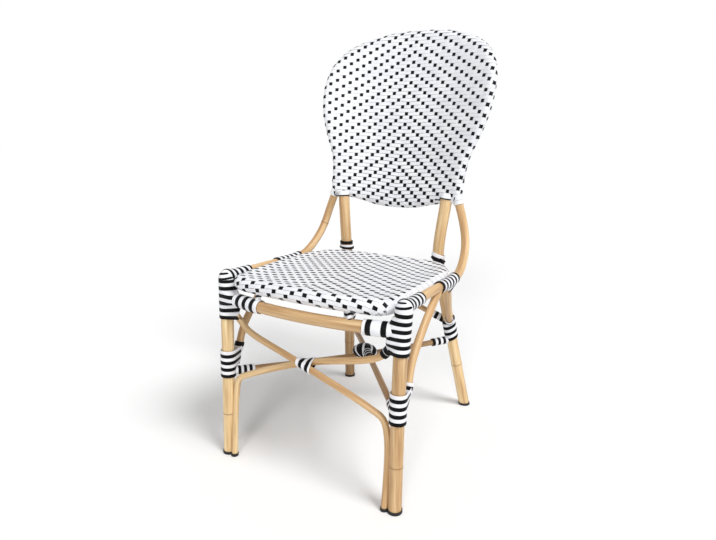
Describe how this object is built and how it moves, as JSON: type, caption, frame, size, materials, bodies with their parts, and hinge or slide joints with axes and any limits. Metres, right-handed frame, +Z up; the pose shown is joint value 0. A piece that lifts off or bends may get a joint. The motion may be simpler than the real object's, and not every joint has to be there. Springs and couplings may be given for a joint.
{
  "type": "rattan bistro chair",
  "caption": "Bistro chair with a bent pole frame, woven seat and balloon-shaped woven back, crossed braces and striped lashings at the joints.",
  "frame": {"origin": "on the floor, below the middle of the chair box", "axes": "+Z up, -Y to the front of the chair, +X to the right of someone who looks at its front"},
  "size_m": [0.467, 0.5888, 0.9836],
  "materials": {
    "pole": "lacquered rattan cane, semi-gloss",
    "weave": "woven white strip with black squares, satin",
    "lashing": "wound black and white strip, satin",
    "rubber": "matt black foot caps"
  },
  "bodies": {
    "root": {"front_leg_left": "pole", "front_leg_right": "pole", "rear_leg_left": "pole", "rear_leg_right": "pole", "foot_cap_front_left": "rubber", "foot_cap_front_right": "rubber", "foot_cap_rear_left": "rubber", "foot_cap_rear_right": "rubber", "front_rail": "pole", "side_rail_left": "pole", "side_rail_right": "pole", "front_cross_brace_left": "pole", "front_cross_brace_right": "pole", "foot_cap_brace_left": "rubber", "foot_cap_brace_right": "rubber", "stretcher_left": "pole", "stretcher_right": "pole", "side_brace_left": "pole", "side_brace_right": "pole", "rear_strut_left": "pole", "rear_strut_right": "pole", "rear_cross_brace_left": "pole", "rear_cross_brace_right": "pole", "woven_seat": "weave", "seat_hoop": "pole", "woven_back": "weave", "back_hoop": "pole", "seat_tie_left": "lashing", "seat_tie_right": "lashing", "front_leg_top_lashing_left": "lashing", "front_leg_top_lashing_right": "lashing", "front_leg_lower_lashing_left": "lashing", "front_leg_lower_lashing_right": "lashing", "rear_leg_lashing_left": "lashing", "rear_leg_lashing_right": "lashing", "upright_collar_left": "lashing", "upright_collar_right": "lashing", "side_rail_front_lashing_left": "lashing", "side_rail_front_lashing_right": "lashing", "side_rail_rear_lashing_left": "lashing", "side_rail_rear_lashing_right": "lashing", "front_rail_lashing_left": "lashing", "front_rail_lashing_right": "lashing", "stretcher_front_sleeve_left": "lashing", "stretcher_front_sleeve_right": "lashing", "stretcher_rear_sleeve_left": "lashing", "stretcher_rear_sleeve_right": "lashing", "rear_brace_sleeve_left": "lashing", "rear_brace_sleeve_right": "lashing", "side_brace_collar_left": "lashing", "side_brace_collar_right": "lashing", "front_cross_binding": "lashing", "stretcher_knot": "lashing"}
  },
  "joints": []
}
